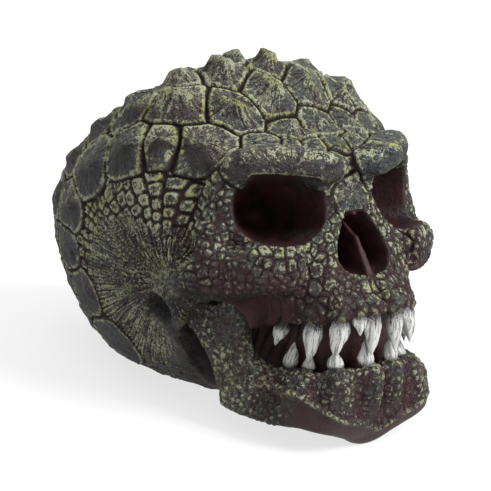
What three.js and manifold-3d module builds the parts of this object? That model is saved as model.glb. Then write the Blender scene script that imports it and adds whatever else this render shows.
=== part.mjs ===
// A cast-resin ornament: a life-size human-shaped skull dressed as a reptile's, with rows of keeled
// scutes over its crown, heavy brow plates, deep eye sockets, a split nose, fangs and a long lower jaw.
// Millimetres, +Z up. The face looks along -Y, the skull's own right side is -X, and it is symmetric
// about x = 0 but for the hand-made variation of its scutes and teeth. It rests on its chin and on the
// flat under its braincase. Four pieces: braincase, face, lower jaw and the core that fills the mouth.
import * as THREE from "three";
import { mergeVertices } from "three/addons/utils/BufferGeometryUtils.js";
import Module from "manifold-3d";

const wasm = await Module();
wasm.setup();

// Driving dimensions, in millimetres and degrees.
const GAP = 0.3; // between neighbouring pieces
const FAR = 300; // bigger than the skull
const REST_SHIFT = -10.6; // along y, so that the origin is under the middle of the box
const BRAINCASE = { y: 1.3, z: 92, half: 72, front: 41, back: 121.5, up: 57.5, down: 92.5 };
const BLUNT = 2.24; // 2 is an ellipsoid, more is boxier
const PITCH = -26; // the whole braincase leans back, its long axis falling towards the back
const SOFT_FLOOR = { from: 12, depth: 17.2 }; // the base eases onto the table instead of cutting through
const SPLIT_Y = -22; // the coronal cut between face and braincase
const BITE = { y: -92, z: 60.5, slope: -0.33 }; // the upper gum line is a plane that drops backwards
const LOWER_GUM = { y: -91, z: 37, slope: -0.25 };
const UPPER_ARCH = { half: 31, front: -92, root: -48 };
const LOWER_ARCH = { half: 28, front: -89.5, root: -47 };
const ARCH_POWER = 0.8;
const SCUTE = { half: 12, gap: 1, lift: 2, sink: 4, keel: 6.5 };
// Each pair of scute rows: degrees down each side from the crown's middle line, and where it starts
// and ends, in degrees over the head from front to back.
const SCUTE_ROWS = [
  [0, -56, 80],
  [22, -62, 80],
  [44, -56, 78],
  [66, -62, 70],
  [88, 22, 66],
  [110, 27, 62],
  [132, 18, 58],
];
const TOOTH_SIDES = 6;
// Each pair of teeth: turn along its arch, length, width at the gum.
const UPPER_TEETH = [
  [8, 15.5, 8.2],
  [21, 7, 6.4],
  [35, 15.5, 8.2],
  [56, 15, 8],
  [80, 8, 7],
];
const LOWER_TEETH = [
  [10, 13, 7.8],
  [37, 8.5, 7.4],
  [59, 6.5, 6],
  [73, 13, 7],
];

const radians = (degrees) => (degrees * Math.PI) / 180;
const mix = (a, b, k) => a + (b - a) * k;
const clamp = (k) => Math.min(1, Math.max(0, k));
const smooth = (from, to, v) => {
  const k = clamp((v - from) / (to - from));
  return k * k * (3 - 2 * k);
};
// A cosine or sine made squarer (power under 1) or more pointed (over 1).
const squared = (v, power) => Math.sign(v) * Math.abs(v) ** power;
// The n-th draw of a fixed series, from -1 to 1.
const vary = (n) => {
  const v = Math.sin(n * 127.1 + 311.7) * 43758.5453;
  return 2 * (v - Math.floor(v)) - 1;
};

// Solids: a closed three.js geometry becomes a manifold, and back.
function solid(geometry) {
  const bare = geometry.clone();
  bare.deleteAttribute("normal");
  bare.deleteAttribute("uv");
  const merged = mergeVertices(bare, 1e-4);
  const vertProperties = merged.attributes.position.array;
  const triVerts = new Uint32Array(merged.index.array);
  const made = new wasm.Manifold(new wasm.Mesh({ numProp: 3, vertProperties, triVerts }));
  if (made.volume() > 0) return made;
  for (let i = 0; i < triVerts.length; i += 3)
    [triVerts[i + 1], triVerts[i + 2]] = [triVerts[i + 2], triVerts[i + 1]];
  return new wasm.Manifold(new wasm.Mesh({ numProp: 3, vertProperties, triVerts }));
}

const join = (pieces) => pieces.reduce((whole, piece) => whole.add(piece));
const cut = (whole, cutters) => cutters.reduce((left, cutter) => left.subtract(cutter), whole);
const largest = (whole) =>
  whole.decompose().reduce((a, b) => (a.volume() > b.volume() ? a : b));

function meshOf(whole, name, material) {
  const { numProp, vertProperties, triVerts } = largest(whole).translate(0, REST_SHIFT, 0).getMesh();
  const count = vertProperties.length / numProp;
  const position = new Float32Array(count * 3);
  for (let i = 0; i < count; i++)
    position.set(vertProperties.subarray(i * numProp, i * numProp + 3), i * 3);
  const geometry = new THREE.BufferGeometry();
  geometry.setAttribute("position", new THREE.BufferAttribute(position, 3));
  geometry.setIndex(new THREE.BufferAttribute(new Uint32Array(triVerts), 1));
  geometry.computeVertexNormals();
  const mesh = new THREE.Mesh(geometry, material);
  mesh.name = name;
  return mesh;
}

// Moves every vertex of a geometry by place(point), which changes the point.
function shaped(geometry, place) {
  const at = geometry.attributes.position;
  const point = new THREE.Vector3();
  for (let i = 0; i < at.count; i++) {
    place(point.fromBufferAttribute(at, i));
    at.setXYZ(i, point.x, point.y, point.z);
  }
  return solid(geometry);
}

// A closed tube of rings. ring(k) gives, k running 0 to 1 along it, the ring's centre, its two half
// axes as vectors, and the power that squares its outline.
function rings(count, sides, ring) {
  const tube = new THREE.CylinderGeometry(1, 1, 1, sides, count);
  return shaped(tube, (p) => {
    const { at, across, up, power = 1 } = ring(clamp(p.y + 0.5));
    const reach = Math.hypot(p.x, p.z);
    const turn = Math.atan2(p.x, p.z);
    p.copy(at)
      .addScaledVector(across, reach * squared(Math.sin(turn), power))
      .addScaledVector(up, reach * squared(Math.cos(turn), power));
  });
}

const vec = (x, y, z) => new THREE.Vector3(x, y, z);
const block = (low, high) =>
  solid(
    new THREE.BoxGeometry(high.x - low.x, high.y - low.y, high.z - low.z).translate(
      (low.x + high.x) / 2,
      (low.y + high.y) / 2,
      (low.z + high.z) / 2,
    ),
  );

// Braincase: a blunt ball with its poles at the ears, drawn out to its five radii and leaned back.
function onBraincase(ball) {
  const reach = (Math.abs(ball.x) ** BLUNT + Math.abs(ball.y) ** BLUNT + Math.abs(ball.z) ** BLUNT) ** (-1 / BLUNT);
  ball.multiplyScalar(reach);
  ball.x *= BRAINCASE.half;
  ball.y *= ball.y < 0 ? BRAINCASE.front : BRAINCASE.back;
  ball.z *= ball.z < 0 ? BRAINCASE.down : BRAINCASE.up;
  ball.applyAxisAngle(vec(1, 0, 0), radians(PITCH));
  ball.y += BRAINCASE.y;
  ball.z += BRAINCASE.z;
  const under = SOFT_FLOOR.from - ball.z;
  if (under > 0) ball.z = SOFT_FLOOR.from - SOFT_FLOOR.depth * (1 - Math.exp(-under / SOFT_FLOOR.depth));
  return ball;
}

const braincaseSolid = () => shaped(new THREE.SphereGeometry(1, 30, 20).rotateZ(Math.PI / 2), onBraincase);

// The point of the braincase at two angles: down the side from the middle line, and back from the top.
const crownPoint = (side, back) =>
  onBraincase(
    vec(
      Math.sin(radians(side)) * Math.cos(radians(back)),
      Math.sin(radians(back)),
      Math.cos(radians(side)) * Math.cos(radians(back)),
    ),
  );

// Half the width free for a scute there, where the rows run together at either end.
const roomAt = (side, back) => 0.47 * crownPoint(side - 11, back).distanceTo(crownPoint(side + 11, back));
const reachAt = (side, back) => Math.min(SCUTE.half, 1.2 * roomAt(side, back));

// A scute: a squared plate sunk in the hide, its top drawn up and back into a short level crest.
function scute(side, back, draw) {
  const at = crownPoint(side, back);
  const ahead = crownPoint(side, back + 1).sub(crownPoint(side, back - 1)).normalize();
  const out = ahead.clone().cross(crownPoint(side - 1, back).sub(crownPoint(side + 1, back))).normalize();
  const across = out.clone().cross(ahead);
  const flatter = mix(1, 0.4, smooth(5, 70, back)) * mix(1, 0.4, smooth(60, 88, Math.abs(side)));
  const smaller = Math.min(1, roomAt(side, back) / SCUTE.half);
  const crest = SCUTE.keel * flatter * smaller * (1 + 0.2 * vary(draw));
  const wide = SCUTE.half * smaller * (1 + 0.04 * vary(draw + 1));
  const long = reachAt(side, back) * (1 + 0.06 * vary(draw + 2));
  return rings(2, 8, (k) => {
    const top = k > 0.9;
    const [w, l, height] = top ? [0.22 * wide, 0.45 * long, crest] : [wide, long, k < 0.1 ? -SCUTE.sink : SCUTE.lift];
    const centre = at.clone().addScaledVector(out, height);
    if (top) centre.addScaledVector(ahead, 2.5);
    return { at: centre, across: across.clone().multiplyScalar(w), up: ahead.clone().multiplyScalar(l), power: 0.62 };
  });
}

// One row of scutes, walked from the brow over the crown and down the back, evenly spaced on the hide.
function scuteRow(side, from, to, start) {
  const row = [];
  let last = crownPoint(side, from);
  let walked = FAR;
  let reach = 0;
  for (let back = from; back < to; back += 0.5) {
    const here = crownPoint(side, back);
    walked += here.distanceTo(last);
    last = here;
    if (walked < reach + reachAt(side, back) + SCUTE.gap) continue;
    row.push(scute(side, back, start + row.length * 3));
    reach = reachAt(side, back);
    walked = 0;
  }
  return row;
}

// Face: level sections from the gums up to the brow. Each row is the section's height, its half width,
// its foremost y, the y it is centred on, and its squareness.
const FACE = [
  [44, 27, -86, -52, 0.8],
  [58, 31, -92, -50, 0.8],
  [66, 33, -90, -48, 0.85],
  [76, 41, -80, -42, 0.95],
  [86, 53, -73, -33, 1],
  [98, 54, -66, -29, 1],
  [110, 52, -59, -24, 0.95],
  [119, 46, -53, -18, 0.95],
  [126, 34, -44, -14, 1],
];

function faceAt(k) {
  const place = k * (FACE.length - 1);
  const i = Math.min(FACE.length - 2, Math.floor(place));
  return FACE[i].map((v, j) => mix(v, FACE[i + 1][j], place - i));
}

function faceSolid() {
  return rings(18, 36, (k) => {
    const [z, wide, front, middle, power] = faceAt(k);
    return { at: vec(0, middle, z), across: vec(wide, 0, 0), up: vec(0, front - middle, 0), power };
  });
}

// The two sides differ only by the sign of x.
const bothSides = (make) => [make(-1), make(1)];

// A bar along a path, thick outwards and tall upwards by the two functions of k.
function bar(path, side, count, sides, thick, tall) {
  return rings(count, sides, (k) => {
    const at = path.getPoint(k);
    const ahead = path.getTangent(k);
    const outward = vec(-ahead.y, ahead.x, 0).normalize();
    at.x *= side;
    outward.x *= side;
    return { at, across: outward.multiplyScalar(thick(k)), up: vec(0, 0, tall(k)), power: 0.85 };
  });
}

// Cheekbone and arch in one bar, from beside the nose round to the ear.
function arch(side) {
  const path = new THREE.CatmullRomCurve3([
    vec(30, -66, 81),
    vec(44, -60, 78),
    vec(55, -48, 74),
    vec(61, -34, 69),
    vec(63, -20, 63),
    vec(58, -4, 60),
  ]);
  return bar(path, side, 16, 12, (k) => mix(8, 5, smooth(0, 0.7, k)), (k) => mix(12, 8, smooth(0.2, 0.8, k)));
}

function brow(side) {
  const path = new THREE.CatmullRomCurve3([
    vec(5, -53, 115),
    vec(17, -56, 120),
    vec(28, -51, 122),
    vec(39, -41, 120),
    vec(48, -33, 111),
    vec(50, -31, 98),
  ]);
  return bar(path, side, 14, 10, () => 8, (k) => mix(6.5, 6, k));
}

// Eye socket: a squared egg, wide at the rim and drawn in towards its back.
function socket(side) {
  const ball = new THREE.SphereGeometry(1, 24, 12).rotateX(Math.PI / 2);
  const turn = new THREE.Euler(radians(-24), 0, radians(20) * side, "ZXY");
  return shaped(ball, (p) => {
    const draw = mix(1.06, 0.62, smooth(-0.5, 1, p.y));
    const flat = Math.hypot(p.x, p.z) || 1;
    const [x, z] = [p.x / flat, p.z / flat];
    p.x = squared(x, 0.85) * flat * 21 * draw;
    p.z = squared(z, 0.85) * flat * 17.5 * draw;
    p.y *= 25;
    p.applyEuler(turn);
    p.add(vec(33 * side, -52, 102));
  });
}

// One half of the nose: a drop, widest low down, run back into the face beside the thin septum.
function nostril(side) {
  const drop = new THREE.Shape();
  drop.moveTo(0.8, 14);
  drop.bezierCurveTo(8, 16, 17, -3, 16, -10);
  drop.bezierCurveTo(15, -18, 6, -18, 0.8, -12);
  drop.closePath();
  const run = new THREE.ExtrudeGeometry(drop, { depth: 44, bevelEnabled: false, curveSegments: 10 });
  return shaped(run, (p) => {
    const draw = mix(0.7, 1, p.z / 44);
    p.set(p.x * draw * side, -p.z, p.y * draw);
    p.applyEuler(new THREE.Euler(radians(-22), 0, 0));
    p.add(vec(0, -42, 77));
  });
}

// The hollow under each arch, between the upper jaw and the lower jaw's upright branch.
function pit(side) {
  return shaped(new THREE.SphereGeometry(1, 20, 14), (p) =>
    p.set(p.x * 15, p.y * 17, p.z * 16).add(vec(50 * side, -38, 43)),
  );
}

// Everything under the gum line of the upper jaw in front of the split, lowered by drop.
const gumZ = (line, y) => line.z + line.slope * (y - line.y);

function underBite(drop) {
  const slab = new THREE.BoxGeometry(FAR, FAR, FAR).translate(0, SPLIT_Y - FAR / 2, -FAR / 2);
  return shaped(slab, (p) => {
    p.z += gumZ(BITE, p.y) - drop;
  });
}

// Lower jaw: a bar between two horseshoes, the gum line and the lower border, each half given from the
// chin backwards.
const GUM_LINE = [
  [0, -91, 37],
  [14, -88, 37],
  [24, -79, 34],
  [29, -65, 31],
  [33, -51, 31],
  [38, -40, 36],
];
const LOWER_BORDER = [
  [0, -85, -1],
  [15, -88, 4],
  [30, -88, 10],
  [37, -74, 10],
  [42, -58, 9],
  [46, -42, 10],
];

function horseshoe(points) {
  const near = points.slice(1).reverse().map(([x, y, z]) => vec(-x, y, z));
  return new THREE.CatmullRomCurve3([...near, ...points.map(([x, y, z]) => vec(x, y, z))]);
}

function jawBody(grow) {
  const gum = horseshoe(GUM_LINE);
  const border = horseshoe(LOWER_BORDER);
  return rings(32, 12, (k) => {
    const high = gum.getPoint(k);
    const low = border.getPoint(k);
    const ahead = border.getTangent(k);
    const outward = vec(ahead.y, -ahead.x, 0).normalize();
    const up = high.clone().sub(low).multiplyScalar(0.5);
    up.setLength(up.length() + grow);
    return { at: high.add(low).multiplyScalar(0.5), across: outward.multiplyScalar(6.5 + grow), up, power: 0.75 };
  });
}

// The upright branch behind, with its two horns and the notch between them, reach thick.
function ramus(side, grow, reach) {
  const outline = new THREE.Shape();
  outline.moveTo(-60, 11);
  outline.lineTo(-54, 32);
  outline.quadraticCurveTo(-48, 36, -47, 46);
  outline.quadraticCurveTo(-46, 61, -40, 62);
  outline.quadraticCurveTo(-35, 54, -28, 56);
  outline.quadraticCurveTo(-22, 62, -17, 58);
  outline.quadraticCurveTo(-18, 48, -27, 40);
  outline.quadraticCurveTo(-34, 30, -38, 18);
  outline.quadraticCurveTo(-43, 9, -60, 11);
  const plate = new THREE.ExtrudeGeometry(outline, {
    depth: reach - 4 + 2 * grow,
    bevelThickness: 2,
    bevelSize: 2,
    bevelOffset: grow - 2,
    bevelSegments: 2,
    curveSegments: 5,
  });
  return shaped(plate, (p) => {
    const outwards = 35.5 + (p.x + 46) * 0.55 - grow + 2 + p.z;
    p.set(side * outwards, p.x, p.y);
  });
}

// Room for the branch in the braincase: its own outline run right out through the side.
const branchRoom = (side) => ramus(side, GAP, 50).intersect(block(vec(-FAR, -FAR, -FAR), vec(FAR, FAR, 53)));

// A tooth: a leaf of rings from root to tip. The upper ones lean out and the lower ones in.
function tooth(archLine, gumLine, turn, length, width, point, draw) {
  const a = radians(turn);
  const y = archLine.root + (archLine.front - archLine.root) * Math.cos(a) ** ARCH_POWER;
  const root = vec(archLine.half * squared(Math.sin(a), ARCH_POWER), y, gumZ(gumLine, y));
  const outward = vec(Math.sin(a), -Math.cos(a), 0);
  const sideways = vec(Math.cos(a), Math.sin(a), 0);
  const long = length * (1 + 0.1 * vary(draw));
  const lean = 0.12 * vary(draw + 1);
  return rings(4, TOOTH_SIDES, (k) => {
    const along = mix(-5, long, k);
    const swell = k < 0.5 ? mix(0.85, 1, k / 0.5) : mix(1, 0.14, ((k - 0.5) / 0.5) ** 1.3);
    const at = root.clone();
    at.z += point * along;
    at.addScaledVector(outward, point < 0 ? 3 * k - 1 : -2.5 * k);
    at.addScaledVector(sideways, lean * along);
    return {
      at,
      across: sideways.clone().multiplyScalar((width / 2) * swell),
      up: outward.clone().multiplyScalar((width / 2) * 0.85 * swell),
    };
  });
}

function teeth(archLine, gumLine, sizes, point, start) {
  return sizes.flatMap(([turn, length, width], i) =>
    [-1, 1].map((side) =>
      tooth(archLine, gumLine, turn * side, length, width, point, start + i * 4 + side),
    ),
  );
}

// The dark wall inside the mouth, from the palate down between the branches of the jaw.
function coreSolid() {
  return rings(4, 32, (k) => ({
    at: vec(0, -50, mix(10, 75, k)),
    across: vec(mix(24, 19, k), 0, 0),
    up: vec(0, -30, 0),
    power: 0.7,
  }));
}

const FRONT = block(vec(-FAR, -FAR, -FAR), vec(FAR, SPLIT_Y, FAR));
const BEHIND = block(vec(-FAR, SPLIT_Y + GAP, -FAR), vec(FAR, FAR, FAR));
const FLOOR = block(vec(-FAR, -FAR, -FAR), vec(FAR, FAR, 0));

const skull = new THREE.Group();
const paint = (color) => new THREE.MeshStandardMaterial({ color, roughness: 0.7, metalness: 0 });

const scutes = SCUTE_ROWS.flatMap(([side, from, to], i) =>
  (side === 0 ? [0] : [-side, side]).flatMap((turn, j) => scuteRow(turn, from, to, 40 * (2 * i + j))),
);
const branches = bothSides((side) => ramus(side, GAP, 9));
const cranium = cut(
  join([braincaseSolid(), faceSolid(), ...bothSides(arch), ...bothSides(brow), ...scutes]),
  [...bothSides(socket), ...bothSides(nostril), ...branches, underBite(0), FLOOR],
);
const face = join([
  cut(cranium.intersect(FRONT), bothSides(pit)),
  ...teeth(UPPER_ARCH, BITE, UPPER_TEETH, -1, 500),
]);
const braincase = cut(cranium.intersect(BEHIND), bothSides(branchRoom));
const jaw = cut(
  join([
    jawBody(0),
    ...bothSides((side) => ramus(side, 0, 9)),
    ...teeth(LOWER_ARCH, LOWER_GUM, LOWER_TEETH, 1, 600),
  ]),
  [FLOOR],
);
const core = cut(coreSolid().intersect(underBite(GAP)).intersect(FRONT), [jawBody(GAP), ...branches, FLOOR]);

skull.add(meshOf(face, "face", paint(0x4a4f2c)));
skull.add(meshOf(braincase, "braincase", paint(0x474c2b)));
skull.add(meshOf(jaw, "lower_jaw", paint(0x454628)));
skull.add(meshOf(core, "mouth_core", paint(0x241010)));

export default skull;
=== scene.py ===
# A cast-resin ornament: a life-size human-shaped skull dressed in reptile hide. The skull and the lower
# jaw are each one skin, grown from the same masses as the solids, with every scute, ring scale and
# pebble raised in the mesh. The teeth are pieces of their own.
import math

import bpy
import numpy as np
from mathutils import Euler, Matrix, Vector


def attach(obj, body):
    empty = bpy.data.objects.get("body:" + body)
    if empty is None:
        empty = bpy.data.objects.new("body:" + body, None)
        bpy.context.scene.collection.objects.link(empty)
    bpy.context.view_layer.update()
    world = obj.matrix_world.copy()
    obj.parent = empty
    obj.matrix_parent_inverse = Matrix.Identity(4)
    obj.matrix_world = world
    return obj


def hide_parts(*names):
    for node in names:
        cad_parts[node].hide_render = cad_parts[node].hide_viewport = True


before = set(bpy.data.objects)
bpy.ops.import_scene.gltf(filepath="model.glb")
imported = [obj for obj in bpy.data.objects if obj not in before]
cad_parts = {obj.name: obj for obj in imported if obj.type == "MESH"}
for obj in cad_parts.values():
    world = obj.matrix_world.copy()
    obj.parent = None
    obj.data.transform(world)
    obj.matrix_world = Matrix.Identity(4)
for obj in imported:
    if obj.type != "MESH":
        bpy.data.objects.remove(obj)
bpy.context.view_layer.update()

# Sizes in millimetres and degrees, as in the part's source. The skull is modelled with its origin under
# the crown, and SHIFT brings it to the frame's.
MM = 0.001
SHIFT = np.array([0.0, -10.6, 0.0])
BRAINCASE = dict(y=1.3, z=92.0, half=72.0, front=41.0, back=121.5, up=57.5, down=92.5)
BLUNT = 2.24
PITCH = -26.0
SOFT_FLOOR = (12.0, 17.2)
BITE = (-92.0, 63.0, -0.36)
LOWER_GUM = (-91.0, 38.0, -0.25)
UPPER_ARCH = (31.0, -92.0, -48.0)
LOWER_ARCH = (29.0, -91.0, -47.0)
ARCH_POWER = 0.8
EAR = (-24.0, 63.5)
EAR_PIT = (-17.0, 50.5)
BARE_BAND = ((66, -18, 60), (59, -27, 46))
# How far from the ear the larger ring scales start, by the turn round it in radians from straight back.
RINGS_START = dict(turn=[-0.2, 0.35, 0.9, 1.4], reach=[60, 48, 30, 23])
# The ridge that parts the chin's bare underside from its scales: its height by distance from the middle.
CHIN_RIDGE = dict(x=[0, 12, 21, 28, 36], z=[8, 13.5, 15.5, 19, 25])
GRAIN = 0.72
MOST_FACES = dict(skull=196000, jaw=150000)
PAINT_GUIDES = (
    "fine_rise", "broad_rise", "joint", "rim", "reddened", "brushed", "inside", "plum", "pit", "shadow",
    "cheek_wall", "chin", "worn", "brush_way",
)

# The photo's camera: degrees round from the face, up and rolled, its aim, distance and focal length.
VIEW_AROUND, VIEW_UP, VIEW_ROLL = -40.0, 17.0, 5.0
VIEW_AIM = (-5.76, -0.57, 66.47)
VIEW_DISTANCE = 900.0
FOCAL_PIXELS = 1953.0
HALF_PICTURE_PIXELS = 245.5


def smooth(low, high, v):
    k = np.clip((np.asarray(v, float) - low) / (high - low), 0, 1)
    return k * k * (3 - 2 * k)


def mix(a, b, k):
    return a + (b - a) * k


def squared(v, power):
    return np.sign(v) * np.abs(v) ** power


def vary(n):
    v = np.sin(np.asarray(n, float) * 127.1 + 311.7) * 43758.5453
    return 2 * (v - np.floor(v)) - 1


# Blender work on one object at a time.
def only(o):
    bpy.ops.object.select_all(action="DESELECT")
    o.select_set(True)
    bpy.context.view_layer.objects.active = o


def points(o):
    flat = np.empty(len(o.data.vertices) * 3)
    o.data.vertices.foreach_get("co", flat)
    return flat.reshape(-1, 3) / MM - SHIFT


def set_points(o, p):
    o.data.vertices.foreach_set("co", ((p + SHIFT) * MM).ravel())
    o.data.update()


def edit(o, *steps):
    only(o)
    bpy.ops.object.mode_set(mode="EDIT")
    bpy.ops.mesh.select_all(action="SELECT")
    for step, settings in steps:
        step(**settings)
    bpy.ops.object.mode_set(mode="OBJECT")


def outward(o):
    edit(
        o,
        (bpy.ops.mesh.remove_doubles, dict(threshold=1e-6)),
        (bpy.ops.mesh.normals_make_consistent, dict(inside=False)),
    )


def modify(o, kind, **settings):
    only(o)
    m = o.modifiers.new(kind.lower(), kind)
    for name, value in settings.items():
        setattr(m, name, value)
    bpy.ops.object.modifier_apply(modifier=m.name)


def joined(name, parts):
    bpy.ops.object.select_all(action="DESELECT")
    for o in parts:
        o.select_set(True)
    bpy.context.view_layer.objects.active = parts[0]
    bpy.ops.object.join()
    parts[0].name = name
    parts[0].data.name = name
    return parts[0]


# Masses. Each starts as a ball primitive, whose rings of latitude become the sections of the mass.
def ball(name, place, segments=64, rings=40):
    bpy.ops.object.select_all(action="DESELECT")
    bpy.ops.mesh.primitive_uv_sphere_add(segments=segments, ring_count=rings, radius=1)
    o = bpy.context.object
    o.name = name
    flat = np.empty(len(o.data.vertices) * 3)
    o.data.vertices.foreach_get("co", flat)
    set_points(o, place(flat.reshape(-1, 3)))
    outward(o)
    return o


def tube(name, ring, count, sides):
    def place(unit):
        level = np.rint(np.arccos(np.clip(unit[:, 2], -1, 1)) * (count + 2) / math.pi).astype(int)
        turn = np.arctan2(unit[:, 0], unit[:, 1])
        out = np.empty_like(unit)
        for i in range(count + 3):
            here = level == i
            k = min(1, max(0, (i - 1) / count))
            at, across, up, power = ring(k)
            reach = 0 if i in (0, count + 2) else 1
            s = squared(np.sin(turn[here]), power)[:, None]
            c = squared(np.cos(turn[here]), power)[:, None]
            out[here] = np.asarray(at) + reach * (s * np.asarray(across) + c * np.asarray(up))
        return out

    return ball(name, place, sides, count + 2)


class Path:
    """A centripetal Catmull-Rom curve through points, as the solids' paths are."""

    def __init__(self, pts):
        self.p = [np.array(q, float) for q in pts]

    def at(self, t):
        p = self.p
        place = min(max(t, 0), 1) * (len(p) - 1)
        i = min(int(place), len(p) - 2)
        w = place - i
        a = p[i - 1] if i > 0 else 2 * p[0] - p[1]
        d = p[i + 2] if i + 2 < len(p) else 2 * p[-1] - p[-2]
        b, c = p[i], p[i + 1]
        t0, t1, t2 = (max(np.linalg.norm(v) ** 0.5, 1e-4) for v in (b - a, c - b, d - c))
        m1 = ((b - a) / t0 - (c - a) / (t0 + t1) + (c - b) / t1) * t1
        m2 = ((c - b) / t1 - (d - b) / (t1 + t2) + (d - c) / t2) * t1
        return b + m1 * w + (-3 * b + 3 * c - 2 * m1 - m2) * w**2 + (2 * b - 2 * c + m1 + m2) * w**3

    def ahead(self, t):
        d = self.at(min(1, t + 1e-4)) - self.at(max(0, t - 1e-4))
        return d / np.linalg.norm(d)


def on_braincase(unit):
    """The braincase's surface in each direction: a blunt egg, pitched forward and eased flat below."""
    a = np.abs(unit)
    v = unit * ((a**BLUNT).sum(1) ** (-1 / BLUNT))[:, None]
    b = BRAINCASE
    x = v[:, 0] * b["half"]
    y = v[:, 1] * np.where(v[:, 1] < 0, b["front"], b["back"])
    z = v[:, 2] * np.where(v[:, 2] < 0, b["down"], b["up"])
    c, s = math.cos(math.radians(PITCH)), math.sin(math.radians(PITCH))
    y, z = b["y"] + y * c - z * s, b["z"] + y * s + z * c
    under = np.maximum(SOFT_FLOOR[0] - z, 0)
    eased = SOFT_FLOOR[0] - SOFT_FLOOR[1] * (1 - np.exp(-under / SOFT_FLOOR[1]))
    return np.stack([x, y, np.where(under > 0, eased, z)], 1)


def braincase_depth(p):
    """About 1 on the braincase's surface, less inside it."""
    b = BRAINCASE
    c, s = math.cos(math.radians(PITCH)), math.sin(math.radians(PITCH))
    dy, dz = p[:, 1] - b["y"], p[:, 2] - b["z"]
    y, z = dy * c + dz * s, -dy * s + dz * c
    x = p[:, 0] / b["half"]
    y = y / np.where(y < 0, b["front"], b["back"])
    z = z / np.where(z < 0, b["down"], b["up"])
    return (np.abs(np.stack([x, y, z], 1)) ** BLUNT).sum(1) ** (1 / BLUNT)


# The face's sections from the mouth up: height, half width, front, middle, and how round it is.
FACE = np.array(
    [
        [44, 27, -86, -52, 0.8],
        [58, 31, -92, -50, 0.8],
        [66, 33, -90, -48, 0.85],
        [76, 41, -80, -42, 0.95],
        [86, 53, -73, -33, 1],
        [98, 54, -66, -29, 1],
        [110, 52, -59, -24, 0.95],
        [119, 46, -53, -18, 0.95],
        [126, 34, -44, -14, 1],
    ]
)


def face_ring(k):
    place = k * (len(FACE) - 1)
    i = min(int(place), len(FACE) - 2)
    z, wide, front, middle, power = mix(FACE[i], FACE[i + 1], place - i)
    return (0, middle, z), (wide, 0, 0), (0, front - middle, 0), power


def bar(name, pts, side, count, sides, thick, tall, power=0.85):
    path = Path(pts)

    def ring(k):
        at, ahead = path.at(k), path.ahead(k)
        out = np.array([-ahead[1], ahead[0], 0])
        out /= np.linalg.norm(out)
        flip = np.array([side, 1, 1])
        return at * flip, out * flip * thick(k), (0, 0, tall(k)), power

    return tube(name, ring, count, sides)


def cheek(side):
    """The cheek arch, from under the socket back to the ear."""
    pts = [(30, -66, 81), (44, -60, 78), (55, -48, 74), (61, -34, 70), (63, -20, 65.5), (58, -4, 63)]
    return bar(
        "cheek", pts, side, 30, 24,
        thick=lambda k: mix(8, 5, smooth(0, 0.7, k)),
        tall=lambda k: mix(11.5, 5.5, smooth(0.15, 0.9, k)),
    )


BROW = [(5, -53, 116.5), (17, -56, 120.5), (28, -51, 122), (38, -41.5, 120.5), (46, -33, 116)]


def brow(side):
    """The slab over the socket, flat underneath."""
    return bar("brow", BROW, side, 28, 24, lambda k: 7, lambda k: 5, 0.6)


def rim(side):
    """The bone outside the socket, from the brow down to the cheek."""
    path = Path([(45, -36, 116), (49, -35, 107), (51.5, -34.5, 98), (55, -36, 89), (57, -41, 80)])
    flip = np.array([side, 1, 1])
    across = np.array([0.8, -0.6, 0]) * flip * 6.5
    back = np.array([0.6, 0.8, 0]) * flip * 8
    return tube("rim", lambda k: (path.at(k) * flip, across, back, 0.9), 24, 28)


# A socket's middle, half sizes and how far behind its middle it reaches.
SOCKET_AT = (33, -52, 102)
SOCKET_HALF = (21, 17.5)
SOCKET_FRONT, SOCKET_BACK = 25, 35


def socket_turn(side):
    outward = Matrix.Rotation(math.radians(20) * side, 3, "Z")
    return np.array(outward @ Matrix.Rotation(math.radians(-24), 3, "X"))


def socket(side):
    """The cutter of a socket: a squarish bowl that narrows to its back."""

    def place(unit):
        p = unit[:, [0, 2, 1]] * [1, -1, 1]
        draw = mix(1.06, 0.62, smooth(-0.5, 1, p[:, 1]))
        flat = np.maximum(np.hypot(p[:, 0], p[:, 2]), 1e-9)
        x = squared(p[:, 0] / flat, 0.85) * flat * SOCKET_HALF[0] * draw
        z = squared(p[:, 2] / flat, 0.85) * flat * SOCKET_HALF[1] * draw
        y = p[:, 1] * np.where(p[:, 1] > 0, SOCKET_BACK, SOCKET_FRONT)
        return np.stack([x, y, z], 1) @ socket_turn(side).T + SOCKET_AT * np.array([side, 1, 1])

    return ball("socket", place, 48, 32)


def in_socket(p, side):
    """Under 1 inside the socket."""
    q = (p - SOCKET_AT * np.array([side, 1, 1])) @ socket_turn(side)
    y = q[:, 1] / np.where(q[:, 1] > 0, SOCKET_BACK, SOCKET_FRONT)
    draw = mix(1.06, 0.62, smooth(-0.5, 1, y))
    flat = np.hypot(q[:, 0] / (SOCKET_HALF[0] * draw), q[:, 2] / (SOCKET_HALF[1] * draw))
    return np.sqrt(flat**2 + y**2)


# The nose opening's half width at heights measured along its own tilted face.
NOSE_HEIGHT = [-17.5, -16, -13, -8, 0, 6, 11, 14.5]
NOSE_HALF = [0, 7, 13, 15.8, 14, 10.5, 8, 5.5]
NOSE_TILT = math.radians(22)
NOSE_AT = (-42.0, 77.0)
NOSE_DEPTH = (-46.0, 4.0)


def nose_flat(p):
    """Height along the nose's tilted face, and distance behind it."""
    y, z = p[:, 1] - NOSE_AT[0], p[:, 2] - NOSE_AT[1]
    up = z * math.cos(NOSE_TILT) + y * math.sin(NOSE_TILT)
    back = y * math.cos(NOSE_TILT) - z * math.sin(NOSE_TILT)
    return up, back


def nose_draw(back):
    """How far the nose narrows at that distance behind its face."""
    front, rear = NOSE_DEPTH
    return mix(1, 0.7, np.clip((back - front) / (rear - front), 0, 1))


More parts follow.
